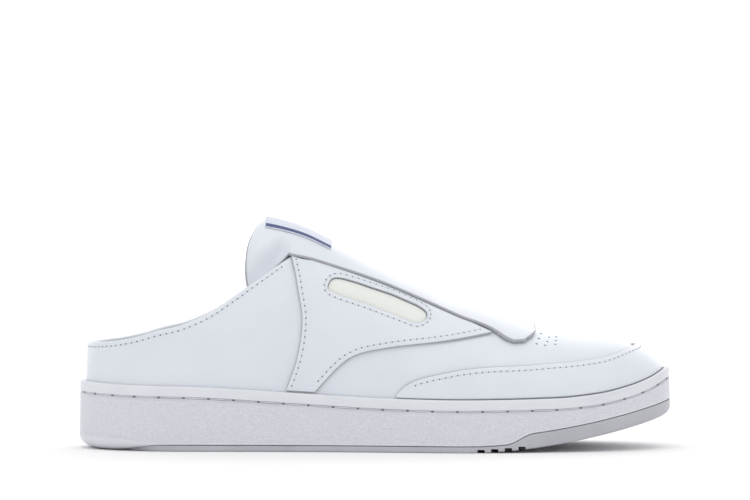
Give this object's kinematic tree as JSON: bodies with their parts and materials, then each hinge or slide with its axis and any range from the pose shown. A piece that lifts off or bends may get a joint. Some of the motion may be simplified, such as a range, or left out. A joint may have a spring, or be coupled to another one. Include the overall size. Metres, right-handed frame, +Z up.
{
  "type": "sneaker mule",
  "caption": "Low white leather court sneaker mule, right shoe, with an open low heel collar, a padded tongue, a broad instep strap and a cupsole.",
  "frame": {"origin": "on the floor under the middle of the shoe's box", "axes": "+X from heel to toe, +Y to the inner (medial) side, +Z up"},
  "size_m": [0.3, 0.1079, 0.1175],
  "materials": {
    "tread_rubber": "matte grey rubber",
    "sole_rubber": "white rubber, pebbled side",
    "footbed": "white textile over foam",
    "leather": "smooth coated white leather, low gloss",
    "lining": "soft white lining leather",
    "insert": "cream panel",
    "label": "pale woven label with a dark blue edge"
  },
  "bodies": {
    "root": {"outsole": "tread_rubber", "midsole": "sole_rubber", "insole": "footbed", "upper": "leather", "tongue": "lining", "strap": "leather", "toe_cap": "leather", "quarter_overlay_lateral": "leather", "quarter_overlay_medial": "leather", "window_insert": "insert", "tongue_label": "label"}
  },
  "joints": []
}
